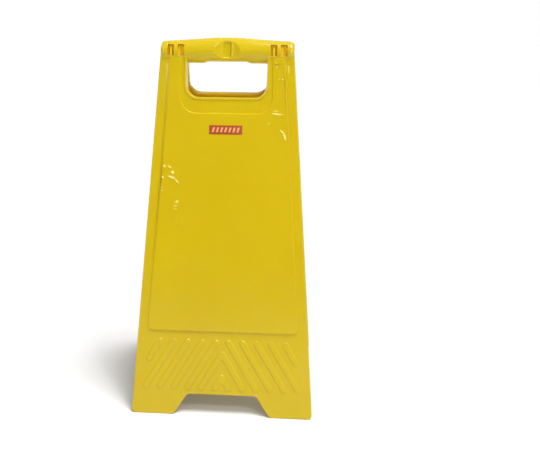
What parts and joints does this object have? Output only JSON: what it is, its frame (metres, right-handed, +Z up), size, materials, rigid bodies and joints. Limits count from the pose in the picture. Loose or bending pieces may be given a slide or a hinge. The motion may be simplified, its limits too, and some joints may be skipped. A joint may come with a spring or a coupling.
{
  "type": "folding wet floor sign",
  "caption": "Folding A-frame floor sign: twin moulded plastic panels with carry handle, beaded hand opening, arched feet and barbed-bar relief, hinged inside the handle.",
  "frame": {"origin": "on the floor, under the middle of the handle, midway between the feet of the open sign", "axes": "+Z up, X along the hinge, front panel faces -Y"},
  "size_m": [0.3056, 0.2794, 0.6134],
  "materials": {
    "yellow_plastic": "glossy safety-yellow polypropylene, moulded in colour",
    "red_label": "glossy printed vinyl sticker, left blank",
    "pin_steel": "drawn steel wire"
  },
  "bodies": {
    "front": {"front_panel": "yellow_plastic", "front_label": "red_label", "hinge_pin_1": "pin_steel", "hinge_pin_2": "pin_steel", "hinge_pin_3": "pin_steel", "hinge_pin_4": "pin_steel"},
    "rear": {"rear_panel": "yellow_plastic", "rear_label": "red_label"}
  },
  "joints": [
    {"name": "fold", "type": "hinge", "parent": "front", "child": "rear", "pos_m": [0, 0, 0.58985], "axis": [-1, 0, 0], "range_deg": [0, 24]}
  ]
}
